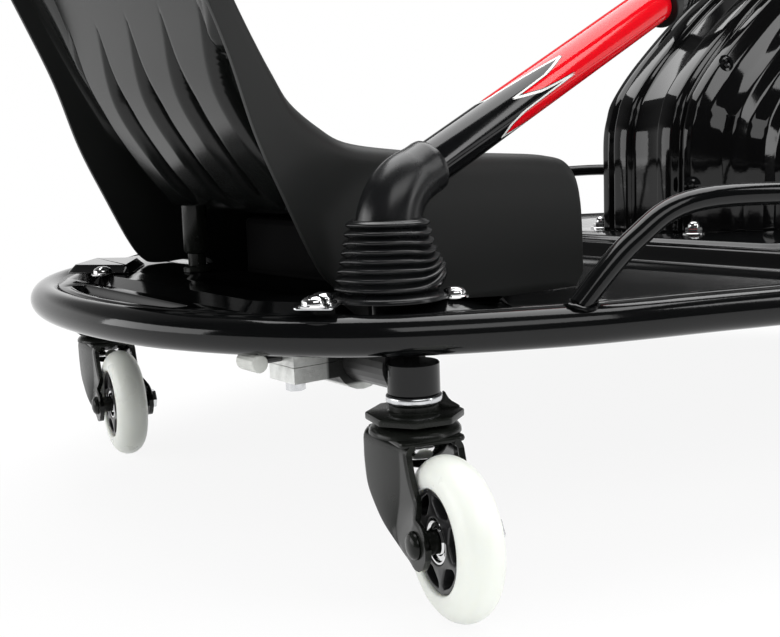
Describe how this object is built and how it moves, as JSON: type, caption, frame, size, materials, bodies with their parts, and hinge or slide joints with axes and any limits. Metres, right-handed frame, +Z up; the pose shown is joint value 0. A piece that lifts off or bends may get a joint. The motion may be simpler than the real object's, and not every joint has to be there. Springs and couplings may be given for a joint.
{
  "type": "electric drift kart",
  "caption": "Low electric drift kart: bucket seat on a tube-framed deck, steered driven front wheel under a hood, and rear casters that a hand bar tilts.",
  "frame": {"origin": "centre of the bounding box in X and Y, on the ground plane", "axes": "+X forward, +Y to the driver's left, +Z up"},
  "size_m": [0.996, 0.678, 0.533],
  "materials": {
    "gloss_black_paint": "high-gloss black paint on steel tube and sheet",
    "satin_black_moulding": "satin black moulding with a fine grain",
    "gloss_black_moulding": "glossy black moulding",
    "black_coated_steel": "satin black coating on steel",
    "black_rubber": "matt black rubber",
    "red_plastic": "glossy red",
    "white_urethane": "cast off-white urethane, smooth",
    "zinc_plate": "bright zinc plate",
    "chrome_plate": "bright chrome",
    "cast_aluminium": "rough sand-cast skin with machined faces",
    "tread_rubber": "matt black tread rubber",
    "matt_black_plastic": "matt black plastic"
  },
  "bodies": {
    "frame": {"perimeter_tube": "gloss_black_paint", "deck_pan": "gloss_black_paint", "side_hoop_right": "gloss_black_paint", "side_hoop_left": "gloss_black_paint", "seat_shell": "satin_black_moulding", "seat_post": "black_coated_steel", "battery_box": "matt_black_plastic", "clamp_saddle_right": "cast_aluminium", "clamp_saddle_left": "cast_aluminium", "clamp_cap_right": "cast_aluminium", "clamp_cap_left": "cast_aluminium", "clamp_bolt_1": "zinc_plate", "clamp_bolt_2": "zinc_plate", "clamp_bolt_3": "zinc_plate", "clamp_bolt_4": "zinc_plate", "stop_rod": "black_coated_steel", "stop_barrel": "zinc_plate", "boot": "black_rubber", "drive_hood": "gloss_black_moulding", "head_bridge": "black_coated_steel", "column_bearing": "black_coated_steel", "pedal_bracket": "black_coated_steel", "power_switch_housing": "matt_black_plastic", "charge_port": "matt_black_plastic"},
    "drift_axle": {"drift_shaft": "black_coated_steel", "drift_bar": "gloss_black_paint", "bar_grip": "black_rubber", "grip_ring": "satin_black_moulding", "elbow_sleeve": "black_rubber", "stem_right": "gloss_black_paint", "stem_left": "gloss_black_paint", "stem_washer_right": "zinc_plate", "stem_washer_left": "zinc_plate", "caster_plate_right": "black_coated_steel", "caster_plate_left": "black_coated_steel"},
    "caster_right": {"fork_right": "black_coated_steel", "bearing_cup_right": "chrome_plate", "axle_bolt_right": "black_coated_steel", "axle_nut_right": "zinc_plate"},
    "wheel_right": {"tyre_right": "white_urethane", "hub_right": "matt_black_plastic", "bearing_right": "chrome_plate"},
    "caster_left": {"fork_left": "black_coated_steel", "bearing_cup_left": "chrome_plate", "axle_bolt_left": "black_coated_steel", "axle_nut_left": "zinc_plate"},
    "wheel_left": {"tyre_left": "white_urethane", "hub_left": "matt_black_plastic", "bearing_left": "chrome_plate"},
    "front_fork": {"drive_fork": "black_coated_steel", "drive_axle": "zinc_plate"},
    "drive_wheel": {"drive_tyre": "tread_rubber", "motor_hub": "black_coated_steel"},
    "steering_wheel": {"steering_column": "black_coated_steel", "steering_rim": "satin_black_moulding"},
    "pedal": {"throttle_pedal": "black_rubber", "pedal_pin": "zinc_plate"},
    "rocker": {"switch_rocker": "red_plastic"}
  },
  "joints": [
    {"name": "drift_pull", "type": "hinge", "parent": "frame", "child": "drift_axle", "pos_m": [-0.363, 0, 0.1212], "axis": [0, -1, 0], "range_deg": [0, 18], "stiffness_Nm_per_rad": 5, "springref_deg": -28.65, "deforming": ["boot"]},
    {"name": "swivel_right", "type": "hinge", "parent": "drift_axle", "child": "caster_right", "pos_m": [-0.363, -0.209, 0.09], "axis": [0, 0, 1], "continuous": true},
    {"name": "spin_right", "type": "hinge", "parent": "caster_right", "child": "wheel_right", "pos_m": [-0.37394, -0.25162, 0.042], "axis": [0.9686, -0.2487, 0], "continuous": true},
    {"name": "swivel_left", "type": "hinge", "parent": "drift_axle", "child": "caster_left", "pos_m": [-0.363, 0.209, 0.09], "axis": [0, 0, 1], "continuous": true},
    {"name": "spin_left", "type": "hinge", "parent": "caster_left", "child": "wheel_left", "pos_m": [-0.37102, 0.16574, 0.042], "axis": [0.9833, -0.1822, 0], "continuous": true},
    {"name": "steer", "type": "hinge", "parent": "frame", "child": "front_fork", "pos_m": [0.387, 0, 0.16], "axis": [0, 0, 1], "continuous": true},
    {"name": "drive_spin", "type": "hinge", "parent": "front_fork", "child": "drive_wheel", "pos_m": [0.387, 0, 0.075], "axis": [0, 1, 0], "continuous": true},
    {"name": "column_turn", "type": "hinge", "parent": "frame", "child": "steering_wheel", "pos_m": [0.387, 0, 0.27], "axis": [-0.6691, 0, 0.7431], "continuous": true},
    {"name": "pedal_press", "type": "hinge", "parent": "frame", "child": "pedal", "pos_m": [0.157, -0.215, 0.166], "axis": [0, 1, 0], "range_deg": [0, 18], "stiffness_Nm_per_rad": 0.8, "springref_deg": -22.92},
    {"name": "rocker_tip", "type": "hinge", "parent": "frame", "child": "rocker", "pos_m": [0.297, 0.2, 0.1665], "axis": [0, 1, 0], "range_deg": [0, 16]}
  ],
  "couplings": [
    {"joint": "column_turn", "follows": "steer", "ratio": 1}
  ]
}
